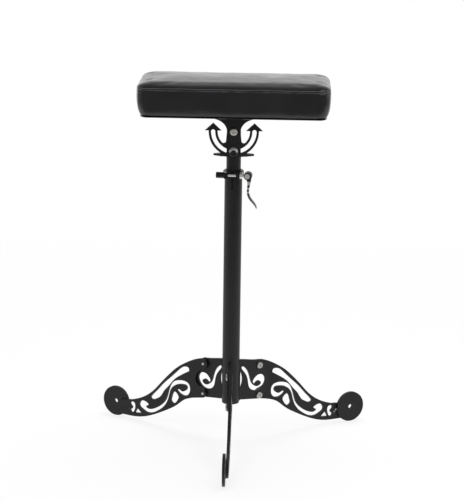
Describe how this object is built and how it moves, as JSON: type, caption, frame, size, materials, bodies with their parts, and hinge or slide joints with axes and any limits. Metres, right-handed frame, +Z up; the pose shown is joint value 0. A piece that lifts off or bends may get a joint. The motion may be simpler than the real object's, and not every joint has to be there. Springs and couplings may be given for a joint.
{
  "type": "tattoo arm rest stand",
  "caption": "Free-standing arm rest with a padded black top that tilts on an anchor-shaped bracket, a clamped height-adjustable column and ornamental flat legs.",
  "frame": {"origin": "on the floor, at the middle of the bounding box; the column's axis stands 82.5 mm behind it", "axes": "+Z up along the column, +X along the pad's length to the right as seen in the picture, +Y from the front leg to the back, across the pad"},
  "size_m": [0.5926, 0.5158, 0.804],
  "materials": {
    "coated_steel": "satin",
    "bright_steel": "satin",
    "blackened_steel": "gloss",
    "black_plastic": "matte",
    "plywood": "matte",
    "padded_cover": "satin"
  },
  "bodies": {
    "base": {"column_tube": "coated_steel", "column_bush": "black_plastic", "column_plug": "black_plastic", "hub_wing_front": "coated_steel", "hub_wing_right": "coated_steel", "hub_wing_left": "coated_steel", "leg_plate_front": "coated_steel", "leg_plate_right": "coated_steel", "leg_plate_left": "coated_steel", "foot_disc_front": "coated_steel", "foot_disc_right": "coated_steel", "foot_disc_left": "coated_steel", "leg_screws_front": "bright_steel", "leg_screws_right": "bright_steel", "leg_screws_left": "bright_steel", "clamp_collar": "coated_steel", "clamp_rod": "bright_steel", "clamp_nut": "blackened_steel", "clamp_washer": "bright_steel", "cam_barrel": "bright_steel"},
    "lever": {"cam_lever": "coated_steel"},
    "guide": {"guide_bush": "black_plastic"},
    "mast": {"mast_tube": "coated_steel", "crown_plate": "coated_steel", "pivot_ear": "coated_steel", "pivot_bolt": "bright_steel", "pivot_washer": "bright_steel", "pivot_nut": "bright_steel", "tilt_lock_bolt": "blackened_steel", "tilt_lock_washer": "blackened_steel", "tilt_lock_nut": "bright_steel"},
    "head": {"anchor_plate": "coated_steel", "pad_plate": "coated_steel", "pad_board": "plywood", "pad_tee_nuts": "bright_steel", "pad_screws": "bright_steel", "cushion": "padded_cover"}
  },
  "joints": [
    {"name": "height_slide", "type": "slide", "parent": "base", "child": "guide", "axis": [0, 0, 1], "range_m": [-0.015, 0.23]},
    {"name": "mast_swivel", "type": "hinge", "parent": "guide", "child": "mast", "pos_m": [0, 0.0825, 0.27], "axis": [0, 0, 1], "continuous": true},
    {"name": "pad_tilt", "type": "hinge", "parent": "mast", "child": "head", "pos_m": [0, 0.0825, 0.689], "axis": [0, 1, 0], "range_deg": [-75, 75]},
    {"name": "cam_lever_turn", "type": "hinge", "parent": "base", "child": "lever", "pos_m": [0.03062, 0.05272, 0.59595], "axis": [-0.0872, -0.9962, 0], "range_deg": [0, 165]}
  ]
}
